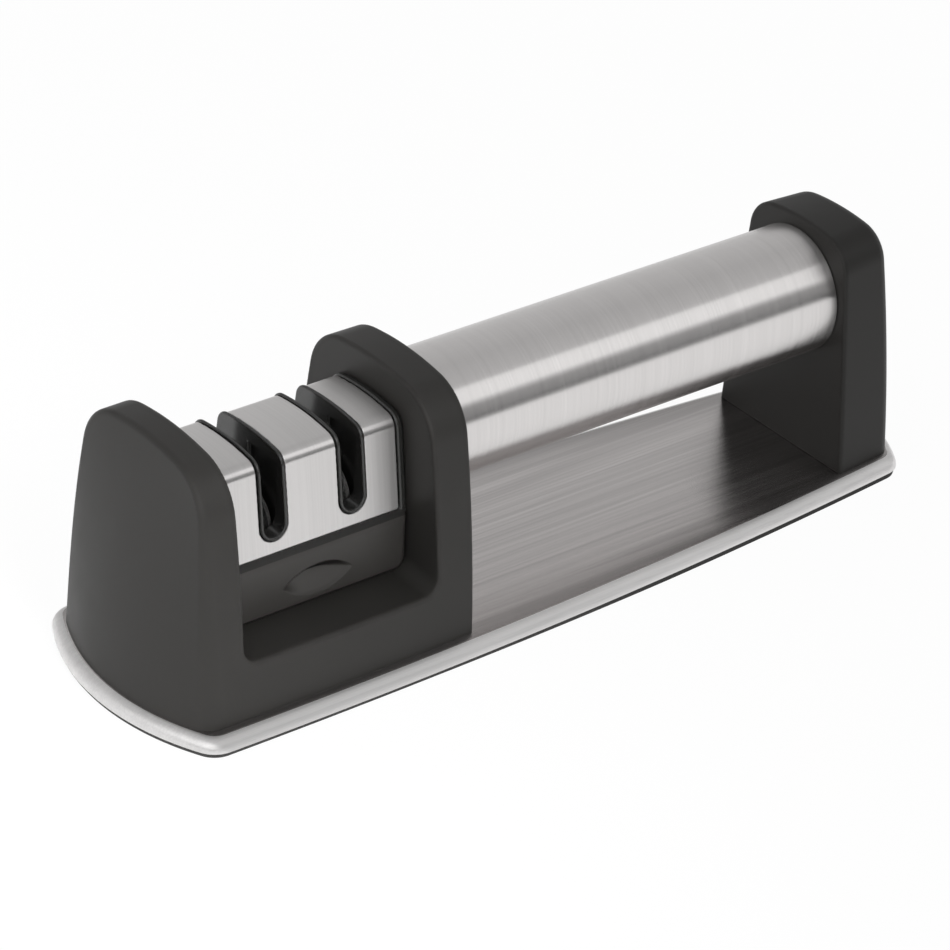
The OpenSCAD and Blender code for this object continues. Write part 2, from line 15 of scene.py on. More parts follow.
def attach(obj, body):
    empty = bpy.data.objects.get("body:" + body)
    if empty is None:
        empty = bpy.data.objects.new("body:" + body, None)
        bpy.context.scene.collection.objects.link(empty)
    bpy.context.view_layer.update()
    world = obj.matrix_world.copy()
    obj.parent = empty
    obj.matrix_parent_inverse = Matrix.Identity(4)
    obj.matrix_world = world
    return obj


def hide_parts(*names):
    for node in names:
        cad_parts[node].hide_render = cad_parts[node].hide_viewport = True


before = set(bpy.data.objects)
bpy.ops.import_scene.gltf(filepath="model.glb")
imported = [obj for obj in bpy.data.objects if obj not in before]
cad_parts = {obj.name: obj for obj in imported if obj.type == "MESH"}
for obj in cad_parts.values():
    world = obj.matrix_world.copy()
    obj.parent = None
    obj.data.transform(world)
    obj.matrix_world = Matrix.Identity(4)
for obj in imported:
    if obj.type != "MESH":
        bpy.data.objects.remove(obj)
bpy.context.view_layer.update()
MM = 0.001

# ---- Sizes, as in the model. X runs from the sharpening end to the rear post
PLATE_L, PLATE_W, WIDEST = 210.0, 62.4, -63.0
SIDE_R, HEAD_END_R, POST_END_R, CORNER_R = 1535.0, 58.3, 36.8, 6.1
MAT_T, TRAY_H, RIM_W, SHEET_T, MAT_IN = 1.6, 3.1, 3.1, 0.8, 0.4
PLATE_TOP = MAT_T + TRAY_H
# What the plate's widest loop stands in, to stay within the model's box
EDGE_IN = 0.005

# Housing: its ends, its bay, and the well and the bolt's hole that open into the bay. IN is how
# far the foot stands in from the plate's edge, and HALF is half the width that its mesh may take
HEAD_X0, PART_X1, HEAD_TOP, HEAD_IN, HEAD_HALF = -102.3, -27.8, 61.7, 4.0, 28
BAY_X0, BAY_X1, BAY_EDGE_R = -86.1, -37.1, 0.9
SILL_TOP, SILL_R = 17.4, 3.6
WELL_IN, WELL_HALF, WELL_Z, WELL_R, WELL_EDGE_R = 3, 12.5, 7.2, 2.0, 0.5
BOLT_HOLE_R, BOLT_HOLE_DEEP, BOLT_EDGE_R = 5.4, 4.4, 0.3

POST_X0, POST_X1, POST_TOP, POST_IN, POST_HALF = 80.9, 102.3, 60.9, 3.5, 22
FACE_EDGE_R = 0.8
FOOT_Z = PLATE_TOP - 0.5

TUBE_R, TUBE_T, TUBE_Z, TUBE_EDGE = 14.85, 1.0, 43.3, 0.25

# Cartridge: body, panel, skin, and the plug that reaches down into the well. UNDER is how far
# one form runs on beneath another
CART_X0, CART_X1, UNDER = -85.8, -37.4, 1
PANEL_X0, PANEL_X1, PANEL_HALF = CART_X0 + 0.1, CART_X1 - 0.25, 15.2
PANEL_Z0, PANEL_TOP, PANEL_R, PANEL_EDGE_R, LEDGE_R = 17.7, 31.2, SILL_R - 0.65, 1.4, 0.5
PANEL_FOOT = PANEL_Z0 + 0.4
SKIN_HALF, SKIN_Z, SKIN_TOP = 13.8, 32.5, 54.1
SKIN_X0, SKIN_X1, SKIN_GAP, SKIN_EDGE_R, SKIN_CORNER_R = -84.1, -39.1, 0.05, 0.12, 0.7
PLUG_X0, PLUG_X1, PLUG_HALF, PLUG_Z0 = -82.75, -40.45, 12.15, 10.2
PLUG_R, PLUG_EDGE_R = 2.0, 0.3

# Slots, the beads round them and at the skin's ends, and the wheels' chambers and axle
SLOT_XS, SLOT_Z, SLOT_R, LIP_R, SLOT_EDGE_R = (-70.45, -50.55), 38.75, 2.55, 3.65, 0.42
BEAD_UP, BEAD_EDGE_R, LIP_GAP, END_GAP = 0.4, 0.4, 0.28, 0.25
CHAMBER_HALF_X, CHAMBER_HALF_Y, STEP_Y = 3.588, 9.6, 0.6
CHAMBER_LOW, CHAMBER_HIGH = 44.3, SKIN_TOP - 3
AXLE_Z, AXLE_R, AXLE_GAP, AXLE_X1 = 33.3, 2.0, 0.05, -40.4

# Thumb recess: width, height, depth, middle of its foot, and where it is deepest, as a share
SCOOP_W, SCOOP_H, SCOOP_DEEP = 17.2, 6.8, 2.6
SCOOP_X, SCOOP_Z, SCOOP_PEAK = (BAY_X0 + BAY_X1) / 2 + 1.1, 20.37, 0.7
SCOOP_TIP_R, SCOOP_BED_R, SCOOP_EDGE_R = 0.4, 0.12, 0.25

# Inset and height of the mat's loops, from its lower edge up
MAT_LOOPS = ((0.8, 0.0), (0.3, 0.35), (0.0, 0.8), (0.0, MAT_T - 0.1), (0.1, MAT_T))

# Centres of the arcs of the base's outline
SIDE_C = np.array([WIDEST, PLATE_W / 2 - SIDE_R])
HEAD_C = np.array([-PLATE_L / 2 + HEAD_END_R, 0.0])
POST_C = np.array([PLATE_L / 2 - POST_END_R, 0.0])

# Foot height, lean of the side, side radius, shoulder radius, crown radius, top height
HEAD_FORM = (PLATE_TOP, math.radians(2.4), 350.0, 12.4, 75.0, HEAD_TOP)
POST_FORM = (PLATE_TOP, math.radians(4.5), 1600.0, 8.3, 60.0, POST_TOP)
SKIN_FORM = (SKIN_Z, math.radians(7.4), 1500.0, 3.2, 60.0, SKIN_TOP)

# Centre and radius of the arc at the foot, distance of the crown's edge, and the edge's radius
# at the foot and at the crown
HEAD_END = (-HEAD_C[0], HEAD_END_R - 2.7, 7.5 - BAY_X0, 3.2, 1.0)
POST_END = (POST_C[0], POST_END_R - 2.7, POST_X0 + 13.4, 1.2, 3.0)


# ---- Fields
def plate_half(x):
    """Half the width of the plate at x."""
    return SIDE_C[1] + np.sqrt(SIDE_R**2 - (x - SIDE_C[0]) ** 2)


def both(a, b, r):
    """Where both fields are negative, with a round of radius r along the edge."""
    outside = np.hypot(np.maximum(a + r, 0), np.maximum(b + r, 0))
    return np.minimum(np.maximum(a, b), -r) + outside


def cut(a, b, r):
    """The first field without the second, with a round of radius r along the edge."""
    return both(a, -b, r)


def slab(p, low, high):
    """The layer between two planes."""
    return np.maximum(low - p, p - high)


def crowned(y, z, half_w, form):
    """A section with leaning bowed sides, round shoulders and a crown."""
    foot, lean, bow, shoulder, crown, top = form
    ay = np.abs(y)
    sy, sz = half_w - bow * math.cos(lean), foot - bow * math.sin(lean)
    cz = top - crown
    # The shoulder's centre (ky, kz) lies where the side's and crown's arcs, drawn in by it, cross
    r1, r2 = bow - shoulder, crown - shoulder
    dy, dz = -sy, cz - sz
    d = np.hypot(dy, dz)
    uy, uz = dy / d, dz / d
    a = (r1 * r1 - r2 * r2 + d * d) / (2 * d)
    h = np.sqrt(r1 * r1 - a * a)
    ky, kz = sy + a * uy - h * uz, sz + a * uz + h * uy
    # Lines from the arcs' centres through it part the side, the shoulder and the crown
    hsy, hsz = (ky - sy) / r1, (kz - sz) / r1
    hcy, hcz = ky / r2, (kz - cz) / r2
    qy, qz = ay - ky, z - kz
    side = np.hypot(ay - sy, z - sz) - bow
    crest = np.hypot(ay, z - cz) - crown
    corner = np.hypot(qy, qz) - shoulder
    upper = np.where(qy * hcz - qz * hcy <= 0, crest, corner)
    return np.where(hsy * qz - hsz * qy <= 0, side, upper)


def with_end(d, u, y, z, form, end):
    """Cuts a form by its end face, which runs up from an arc at the foot to a straight edge."""
    c, r, crown_x, foot_r, crown_r = end
    foot, top = form[0], form[5]
    t = (z - foot) / (top - foot)
    bow = np.sqrt(np.maximum(r * r - y * y, 1.0))
    face = u - t * crown_x - (1 - t) * (c + bow)
    slope_y = (1 - t) * y / bow
    slope_z = (c + bow - crown_x) / (top - foot)
    face = face / np.sqrt(1 + slope_y**2 + slope_z**2)
    return both(d, face, foot_r + (crown_r - foot_r) * np.clip(t, 0, 1))


def trough(x, z, x0, x1, z0, r):
    """A U shape, open at the top, with corners of radius r."""
    qx = np.abs(x - (x0 + x1) / 2) - (x1 - x0) / 2 + r
    qz = z0 + r - z
    return np.minimum(np.maximum(qx, qz), 0) + np.hypot(np.maximum(qx, 0), np.maximum(qz, 0)) - r


def slot_form(x, z, xs, r):
    """A slot at xs with a round bottom, open at the top, r to each side."""
    return np.where(z >= SLOT_Z, np.abs(x - xs), np.hypot(x - xs, z - SLOT_Z)) - r


def housing_field(x, y, z):
    """The head housing, with its bay, the well in the bay's floor and the hole for the bolt."""
    d = crowned(y, z, plate_half(x) - HEAD_IN, HEAD_FORM)
    d = with_end(d, -x, y, z, HEAD_FORM, HEAD_END)
    d = both(d, x - PART_X1, FACE_EDGE_R)
    d = cut(d, trough(x, z, BAY_X0, BAY_X1, SILL_TOP, SILL_R), BAY_EDGE_R)
    well = trough(x, z, BAY_X0 + WELL_IN, BAY_X1 - WELL_IN, WELL_Z, WELL_EDGE_R)
    d = cut(d, both(well, np.abs(y) - WELL_HALF, WELL_R), WELL_EDGE_R)
    bolt = np.maximum(np.hypot(y, z - TUBE_Z) - BOLT_HOLE_R,
                      slab(x, BAY_X1 - 2, BAY_X1 + BOLT_HOLE_DEEP))
    d = cut(d, bolt, BOLT_EDGE_R)
    return np.maximum(d, FOOT_Z - z)


def post_field(x, y, z):
    """The rear post."""
    d = crowned(y, z, plate_half(x) - POST_IN, POST_FORM)
    d = with_end(d, x, y, z, POST_FORM, POST_END)
    d = both(d, POST_X0 - x, FACE_EDGE_R)
    return np.maximum(d, FOOT_Z - z)


def scoop_field(x, y, z):
    """The thumb recess: a lens with a short wall along its top, which runs out below."""
    rise = SCOOP_H / 2
    r = ((SCOOP_W / 2) ** 2 + rise**2) / (2 * rise)
    lens = both(np.hypot(x - SCOOP_X, z - SCOOP_Z - r) - r,
                np.hypot(x - SCOOP_X, z - SCOOP_Z - SCOOP_H + r) - r, SCOOP_TIP_R)
    low = SCOOP_Z + r - np.sqrt(np.maximum(r * r - (x - SCOOP_X) ** 2, 0))
    high = 2 * SCOOP_Z + SCOOP_H - low
    share = np.clip((z - low) / np.maximum(high - low, 0.3), 0, 1)
    up = np.sin(share / SCOOP_PEAK * math.pi / 2) ** 1.5
    down = 1 - 0.85 * np.clip((share - SCOOP_PEAK) / (1 - SCOOP_PEAK), 0, 1) ** 1.3
    sweep = np.where(share < SCOOP_PEAK, up, down)
    # Steep towards the sharpening end, and slowly running out towards the handle
    far = np.clip((x - SCOOP_X) / (SCOOP_W / 2), -1, 1)
    across = np.where(far < 0, (1 - far**8) ** 0.5, (1 - far**2) ** 1.5) * (0.82 - 0.25 * far)
    bed = (PANEL_HALF - np.abs(y)) - SCOOP_DEEP * sweep * across
    return both(lens, bed * 0.8, SCOOP_BED_R)


def panel_field(x, y, z):
    """The cartridge's lower part: a panel on each side, with a chamfered ledge and the recess."""
    ay = np.abs(y)
    outline = trough(x, z, PANEL_X0, PANEL_X1, PANEL_FOOT, PANEL_R)
    panel = both(ay - PANEL_HALF, outline, PANEL_EDGE_R)
    a = math.atan2(SKIN_Z - PANEL_TOP, PANEL_HALF - SKIN_HALF)
    ledge = (z - SKIN_Z) * math.cos(a) + (ay - SKIN_HALF) * math.sin(a)
    return cut(both(panel, ledge, LEDGE_R), scoop_field(x, y, z), SCOOP_EDGE_R)


def chamber_field(x, y, z, xs):
    """The room for the wheels under the slot at xs: high in front of STEP_Y and low behind."""
    room = np.maximum(slab(x, xs - CHAMBER_HALF_X, xs + CHAMBER_HALF_X),
                      slab(y, -CHAMBER_HALF_Y, CHAMBER_HALF_Y))
    low = np.maximum(room, z - CHAMBER_LOW)
    high = np.maximum(np.maximum(room, z - CHAMBER_HIGH), y - STEP_Y)
    return np.minimum(low, high)


def cartridge_field(x, y, z):
    """The lift-out body: panel, core under the skin, raised ends and lips, slots and plug."""
    skin = crowned(y, z, SKIN_HALF, SKIN_FORM)
    above = SKIN_Z - UNDER - z
    core = np.maximum(np.maximum(skin + SHEET_T + SKIN_GAP, above),
                      slab(x, SKIN_X0 - UNDER, SKIN_X1 + UNDER))
    d = np.minimum(panel_field(x, y, z), core)
    proud = np.maximum(skin - BEAD_UP, above)
    for x0, x1 in ((CART_X0, SKIN_X0 - END_GAP), (SKIN_X1 + END_GAP, CART_X1)):
        d = np.minimum(d, both(proud, slab(x, x0, x1), BEAD_EDGE_R))
    for xs in SLOT_XS:
        lip = slot_form(x, z, xs, LIP_R - LIP_GAP)
        d = np.minimum(d, both(proud, lip, BEAD_EDGE_R))
    for xs in SLOT_XS:
        d = cut(d, slot_form(x, z, xs, SLOT_R), SLOT_EDGE_R)
        d = np.maximum(d, -chamber_field(x, y, z, xs))
    axle = np.maximum(np.hypot(y, z - AXLE_Z) - AXLE_R - AXLE_GAP, x - AXLE_X1)
    d = np.maximum(d, -axle)
    plug = both(slab(x, PLUG_X0, PLUG_X1), np.abs(y) - PLUG_HALF, PLUG_R)
    return np.minimum(d, both(plug, slab(z, PLUG_Z0, PANEL_Z0 + UNDER), PLUG_EDGE_R))


def skin_field(x, y, z):
    """The bent steel sheet over the cartridge, cut out round the lips."""
    skin = crowned(y, z, SKIN_HALF, SKIN_FORM)
    ends = both(slab(x, SKIN_X0, SKIN_X1), SKIN_Z - z, SKIN_CORNER_R)
    d = both(both(skin, -(skin + SHEET_T), SKIN_EDGE_R), ends, SKIN_EDGE_R)
    for xs in SLOT_XS:
        d = cut(d, slot_form(x, z, xs, LIP_R), SKIN_EDGE_R)
    return d


# ---- Meshes from fields
CORNERS = [(i, j, k) for i in (0, 1) for j in (0, 1) for k in (0, 1)]
EDGES = [(a, b) for a in range(8) for b in range(a + 1, 8)
         if sum(abs(CORNERS[a][i] - CORNERS[b][i]) for i in range(3)) == 1]
QUAD = ((1, 1), (0, 1), (0, 0), (1, 0))


def gradient(field, p, e=0.004):
    """The field's slope at each point, from values a distance e to either side."""
    g = np.empty_like(p)
    for i in range(3):
        a, b = p.copy(), p.copy()
        a[:, i] += e
        b[:, i] -= e
        g[:, i] = (field(*a.T) - field(*b.T)) / (2 * e)
    return g


def settle(field, p, turns, most):
    """Moves points onto the field's surface, each by no more than a given distance."""
    start = p.copy()
    for _ in range(turns):
        g = gradient(field, p)
        f = field(*p.T)
        p = p - g * (f / np.maximum((g * g).sum(1), 0.25))[:, None]
        off = p - start
        far = np.linalg.norm(off, axis=1)
        p = start + off * np.minimum(1, most / np.maximum(far, 1e-9))[:, None]
    return p


def cell_points(grid, cells):
    """A point in each crossed cell: the mean of where the cell's edges cross the surface."""
    value = [grid[tuple((cells + c).T)] for c in CORNERS]
    total = np.zeros((len(cells), 3))
    hits = np.zeros(len(cells))
    for a, b in EDGES:
        va, vb = value[a], value[b]
        on = (va < 0) != (vb < 0)
        t = np.where(on, va / np.where(on, va - vb, 1), 0)
        pa, pb = np.array(CORNERS[a], float), np.array(CORNERS[b], float)
        total += np.where(on[:, None], pa + t[:, None] * (pb - pa), 0)
        hits += on
    return cells + total / hits[:, None]


def cell_quads(inside, index, axis):
    """Quads round the grid edges along one axis that cross the surface."""
    n = index.shape
    u, v = (axis + 1) % 3, (axis + 2) % 3
    near, far = [slice(None)] * 3, [slice(None)] * 3
    near[axis], far[axis] = slice(0, -1), slice(1, None)
    a, b = inside[tuple(near)], inside[tuple(far)]
    quads = []
    for flip, mask in ((False, a & ~b), (True, ~a & b)):
        e = np.argwhere(mask)
        e = e[(e[:, u] > 0) & (e[:, v] > 0) & (e[:, u] < n[u]) & (e[:, v] < n[v])]
        ring = []
        for du, dv in QUAD:
            c = e.copy()
            c[:, u] -= du
            c[:, v] -= dv
            ring.append(index[tuple(c.T)])
        quads.append(np.stack(ring[::-1] if flip else ring, 1))
    return quads


def net(field, low, high, step):
    """Vertices and quads of the field's surface, one vertex in each grid cell that it crosses."""
    # It starts 1.3 steps outside, so that flat faces seldom lie on the grid
    axes = [np.arange(low[i] - 1.3 * step, high[i] + 1.5 * step, step) for i in range(3)]
    grid = field(axes[0][:, None, None], axes[1][None, :, None], axes[2][None, None, :])
    grid = np.broadcast_to(grid, tuple(len(a) for a in axes))
    inside = grid < 0
    n = [s - 1 for s in grid.shape]
    count = np.zeros(n, np.int8)
    for i, j, k in CORNERS:
        count += inside[i:i + n[0], j:j + n[1], k:k + n[2]]
    cells = np.argwhere((count > 0) & (count < 8))
    index = np.full(n, -1, np.int64)
    index[tuple(cells.T)] = np.arange(len(cells))
    points = cell_points(grid, cells) * step + np.array([a[0] for a in axes])
    quads = np.concatenate([q for axis in range(3) for q in cell_quads(inside, index, axis)])
    return points, quads[(quads >= 0).all(1)]


def link(name, data):
    """A new object of the scene."""
    ob = bpy.data.objects.new(name, data)
    bpy.context.scene.collection.objects.link(ob)
    return ob


def thinned(ob, keep):
    """Gives an object a mesh with a share of its faces, and returns that mesh."""
    full = ob.data
    ob.modifiers.new("thin", "DECIMATE").ratio = keep
    graph = bpy.context.evaluated_depsgraph_get()
    thin = bpy.data.meshes.new_from_object(ob.evaluated_get(graph))
    ob.modifiers.clear()
    ob.data = thin
    bpy.data.meshes.remove(full)
    return thin


def smooth(mesh):
    """Shades every face smooth."""
    mesh.polygons.foreach_set("use_smooth", [True] * len(mesh.polygons))


def formed(name, field, low, high, step, keep):
    """A mesh of a field, thinned to a share of its faces, with normals taken from the field."""
    points, quads = net(field, low, high, step)
    points = settle(field, points, turns=5, most=step * 0.9)
    mesh = bpy.data.meshes.new(name)
    mesh.from_pydata(points * MM, [], quads)
    mesh.validate()
    ob = link(name, mesh)
    mesh = thinned(ob, keep)
    co = np.empty(len(mesh.vertices) * 3)
    mesh.vertices.foreach_get("co", co)
    p = settle(field, co.reshape(-1, 3) / MM, turns=3, most=0.1)
    mesh.vertices.foreach_set("co", (p * MM).ravel())
    g = gradient(field, p, 0.02)
    g /= np.maximum(np.linalg.norm(g, axis=1), 1e-9)[:, None]
    smooth(mesh)
    mesh.update()
    mesh.normals_split_custom_set_from_vertices([tuple(v) for v in g])
    return ob


# ---- Meshes from loops of points
def rings(name, loops, caps=(True, True)):
    """A skin over closed loops of (x, y, z) in millimetres, capped at its first and last loop."""
    n = len(loops[0])
    verts = [tuple(np.array(p) * MM) for loop in loops for p in loop]
    faces = []
    for k in range(len(loops) - 1):
        for i in range(n):
            j = (i + 1) % n
            faces.append((k * n + i, k * n + j, (k + 1) * n + j, (k + 1) * n + i))
    if caps[0]:
        faces.append(tuple(range(n - 1, -1, -1)))
    if caps[1]:
        faces.append(tuple((len(loops) - 1) * n + i for i in range(n)))
    mesh = bpy.data.meshes.new(name)
    mesh.from_pydata(verts, [], faces)
    ob = link(name, mesh)
    smooth(mesh)
    return ob


def angle_to(a, b):
    """The direction from one point to another."""
    return math.atan2(b[1] - a[1], b[0] - a[0])


def meet(c1, r1, c2, r2, side):
    """One of the two points where two circles cross."""
    d = np.linalg.norm(c2 - c1)
    u = (c2 - c1) / d
    a = (r1 * r1 - r2 * r2 + d * d) / (2 * d)
    return c1 + a * u + side * math.sqrt(r1 * r1 - a * a) * np.array([-u[1], u[0]])


def arc(c, r, a0, a1, n):
    """n points on an arc, without its end."""
    return [c + r * np.array([math.cos(a), math.sin(a)])
            for a in np.linspace(a0, a1, n, endpoint=False)]


def plan(inset):
    """The base's outline, drawn in from the plate's edge: end, corner, side, corner, end."""
    r = max(CORNER_R - inset, 1)
    inn = inset + r
    kp = meet(SIDE_C, SIDE_R - inn, POST_C, POST_END_R - inn, -1)
    kh = meet(SIDE_C, SIDE_R - inn, HEAD_C, HEAD_END_R - inn, 1)
    post_a, head_a = angle_to(POST_C, kp), angle_to(HEAD_C, kh)
    side_a, side_b = angle_to(SIDE_C, kp), angle_to(SIDE_C, kh)
    half = (arc(POST_C, POST_END_R - inset, 0, post_a, 40)
            + arc(kp, r, post_a, side_a, 20)
            + arc(SIDE_C, SIDE_R - inset, side_a, side_b, 70)
            + arc(kh, r, side_b, head_a, 20)
            + arc(HEAD_C, HEAD_END_R - inset, head_a, math.pi, 50))
    tip = np.array([HEAD_C[0] - HEAD_END_R + inset, 0.0])
    return half + [tip] + [np.array([p[0], -p[1]]) for p in half[:0:-1]]


def rim_loops(sheet_in, steps):
    """Loops up the rolled rim, on the sheet's outside or its thickness further in."""
    loops = []
    for k in range(steps + 1):
        a = math.radians(90 * k / steps)
        inset = max(sheet_in + (RIM_W - sheet_in) * (1 - math.cos(a)), EDGE_IN)
        z = MAT_T + (TRAY_H - sheet_in) * math.sin(a)
        loops.append([(p[0], p[1], z) for p in plan(inset)])
    return loops


def weld(ob, *meshes):
    """Gives an object the faces of meshes that touch, as one mesh."""
    bm = bmesh.new()
    for mesh in meshes:
        bm.from_mesh(mesh)
    bmesh.ops.remove_doubles(bm, verts=bm.verts, dist=1e-6)
    bmesh.ops.recalc_face_normals(bm, faces=bm.faces)
    bm.to_mesh(ob.data)
    bm.free()
    return ob


def tray():
    """The steel plate, with its rolled rim and its inside."""
    foot = [(p[0], p[1], MAT_T) for p in plan(SHEET_T)]
    ob = rings("base_tray", [foot] + rim_loops(0, 12), caps=(False, True))
    under = rings("tray_inside", rim_loops(SHEET_T, 8), caps=(False, True))
    weld(ob, ob.data, under.data)
    bpy.data.objects.remove(under)
    return ob


def foot_mat():
    """The rubber mat, whose lower edge is rounder under the head than under the post."""
    loops = []
    for inset, z in MAT_LOOPS:
        loop = []
        for p, q in zip(plan(MAT_IN), plan(MAT_IN + inset)):
            # The whole inset up to x = -60, and less and less of it towards the post
            share = min(max((40 - p[0]) / 100, 0.15), 1)
            loop.append((*(p + (q - p) * share), z))
        loops.append(loop)
    return rings("base_foot_mat", loops)


def lathe_x(name, profile, centre_z, sides):
    """A turned piece round a line along X. The profile is a closed list of (x, radius)."""
    turns = [2 * math.pi * i / sides for i in range(sides)]
    loops = [[(x, r * math.sin(a), centre_z + r * math.cos(a)) for a in turns]
             for x, r in profile + profile[:1]]
    ob = rings(name, loops, caps=(False, False))
    return weld(ob, ob.data)


def grip():
    """The handle's tube, between the housing and the post."""
    x0, x1, edge, inner = PART_X1, POST_X0, TUBE_EDGE, TUBE_R - TUBE_T
    profile = [(x0, TUBE_R - edge), (x0 + edge, TUBE_R)]
    profile += [(x0 + (x1 - x0) * k / 12, TUBE_R) for k in range(1, 12)]
    profile += [(x1 - edge, TUBE_R), (x1, TUBE_R - edge), (x1, inner), (x0, inner)]
    return lathe_x("grip_tube", profile, TUBE_Z, sides=256)


def crisp(ob, degrees):
    """Keeps edges sharp where faces meet at more than an angle."""
    ob.modifiers.new("edges", "EDGE_SPLIT").split_angle = math.radians(degrees)
    return ob


# ---- Materials
WHITE = (1, 1, 1, 1)
# Axes that the brushed grain runs along, and the direction that highlights spread in
LENGTHWISE = ((0,), (0, 1, 0))
CROSSWISE = ((1, 2), (1, 0, 0))
# Scratches a metre along the grain and across it, and their detail: fine ones and coarse ones
SCRATCHES = ((18.0, 2200.0, 2.0), (6.0, 420.0, 4.0))
# The values of each kind of noise between which a look changes
SCRATCH_SPAN, CLOUD_SPAN, GRAIN_SPAN = (0.7, 1.3), (0.3, 0.7), (0.1, 0.7)
# Half the plate's width at x is about a + b x + c x^2, in metres
HALF_WIDTH = (0.0296, -0.0417, -0.417)


def material(name):
    """A new material, with its nodes and its shader."""
    mat = bpy.data.materials.new(name)
    mat.use_nodes = True
    nt = mat.node_tree
    return mat, nt, nt.nodes["Principled BSDF"]


def add(nt, kind, **values):
    """A new node, with values for its inputs and settings."""
    node = nt.nodes.new(kind)
    for key, value in values.items():
        if key in node.inputs:
            node.inputs[key].default_value = value
        else:
            setattr(node, key, value)
    return node


def join(nt, out, into):
    """Links an output to an input."""
    nt.links.new(out, into)


def calc(nt, operation, *values):
    """A Math node's result, from numbers and sockets."""
    node = add(nt, "ShaderNodeMath", operation=operation)
    for slot, value in zip(node.inputs, values):
        if isinstance(value, (int, float)):
            slot.default_value = value
        else:
            join(nt, value, slot)
    return node.outputs[0]


def ramp(nt, source, low, high, p0=0.0, p1=1.0):
    """Runs from low to high while the source runs from p0 to p1, and stays level outside."""
    ends = {"From Min": p0, "From Max": p1, "To Min": low, "To Max": high}
    node = add(nt, "ShaderNodeMapRange", **ends)
    join(nt, source, node.inputs["Value"])
    return node.outputs["Result"]


def split_axes(nt, source):
    """The X, Y and Z outputs of a vector."""
    node = add(nt, "ShaderNodeSeparateXYZ")
    join(nt, source, node.inputs[0])
    return node.outputs


def coordinates(nt, kind):
    """Texture coordinates of a kind, in metres for the kind Object."""
    return add(nt, "ShaderNodeTexCoord").outputs[kind]


def stretched_noise(nt, scale, detail):
    """Noise in object space with its own scale on each axis, in features a metre."""
    mapping = add(nt, "ShaderNodeMapping", Scale=scale)
    join(nt, coordinates(nt, "Object"), mapping.inputs["Vector"])
    noise = add(nt, "ShaderNodeTexNoise", Scale=1.0, Detail=detail, Roughness=0.55)
    join(nt, mapping.outputs["Vector"], noise.inputs["Vector"])
    return noise.outputs["Fac"]


def tint(nt, fac, dark, light, into):
    """A colour between two others."""
    node = add(nt, "ShaderNodeMix", data_type="RGBA", A=(*dark, 1), B=(*light, 1))
    join(nt, fac, node.inputs["Factor"])
    join(nt, node.outputs["Result"], into)


def vary_tone(nt, bsdf, noise, span, tone, share):
    """A colour that varies by a share either way, while the noise crosses its span."""
    dark = [c * (1 - share) for c in tone]
    light = [min(1, c * (1 + share)) for c in tone]
    tint(nt, ramp(nt, noise, 0, 1, *span), dark, light, bsdf.inputs["Base Color"])


def vary_rough(nt, bsdf, noise, span, rough, share):
    """A roughness that varies by a share either way, while the noise crosses its span."""
    value = ramp(nt, noise, rough * (1 - share), rough * (1 + share), *span)
    join(nt, value, bsdf.inputs["Roughness"])


def bump(nt, height, bsdf, strength, distance):
    """Relief of a strength, and of a depth in metres."""
    node = add(nt, "ShaderNodeBump", Strength=strength, Distance=distance)
    join(nt, height, node.inputs["Height"])
    join(nt, node.outputs["Normal"], bsdf.inputs["Normal"])


def brushed(name, grain, tone, rough, aniso, streak):
    """Brushed steel, with fine scratches over coarser ones along the grain."""
    along, spread = grain
    mat, nt, bsdf = material(name)
    bsdf.inputs["Metallic"].default_value = 1.0
    bsdf.inputs["Anisotropic"].default_value = aniso
    layers = [stretched_noise(nt, [long if i in along else short for i in range(3)], detail)
              for long, short, detail in SCRATCHES]
    scratches = calc(nt, "ADD", *layers)
    vary_tone(nt, bsdf, scratches, SCRATCH_SPAN, tone, streak)
    vary_rough(nt, bsdf, scratches, SCRATCH_SPAN, rough, 0.1)
    bump(nt, scratches, bsdf, 0.07, 0.00001)
    way = add(nt, "ShaderNodeCombineXYZ", X=spread[0], Y=spread[1], Z=spread[2])
    join(nt, way.outputs[0], bsdf.inputs["Tangent"])
    return mat


def moulded(name, tone, rough, grain, shine=0.4):
    """Moulded plastic with a fine spark-eroded texture and faint uneven sheen."""
    mat, nt, bsdf = material(name)
    bsdf.inputs["Specular IOR Level"].default_value = shine
    cloud = stretched_noise(nt, (90, 90, 90), 4.0)
    speck = stretched_noise(nt, (2600, 2600, 2600), 2.0)
    vary_tone(nt, bsdf, cloud, CLOUD_SPAN, tone, 0.06)
    vary_rough(nt, bsdf, cloud, CLOUD_SPAN, rough, 0.07)
    bump(nt, speck, bsdf, grain, 0.00006)
    return mat


def grit(name, tone, spread):
    """Abrasive grains of uneven tone."""
    mat, nt, bsdf = material(name)
    bsdf.inputs["Specular IOR Level"].default_value = 0.25
    bsdf.inputs["Roughness"].default_value = 0.62
    grains = add(nt, "ShaderNodeTexVoronoi", Scale=2600.0)
    join(nt, coordinates(nt, "Object"), grains.inputs["Vector"])
    vary_tone(nt, bsdf, grains.outputs["Distance"], GRAIN_SPAN, tone, spread)
    bump(nt, grains.outputs["Distance"], bsdf, 0.5, 0.0002)
    return mat


def plated(name, tone, rough):
    """Plated or turned metal with a faint cloud over it."""
    mat, nt, bsdf = material(name)
    bsdf.inputs["Metallic"].default_value = 1.0
    cloud = stretched_noise(nt, (700, 700, 700), 4.0)
    tint(nt, cloud, [c * 0.85 for c in tone], tone, bsdf.inputs["Base Color"])
    vary_rough(nt, bsdf, cloud, (0, 1), rough, 0.3)
    return mat


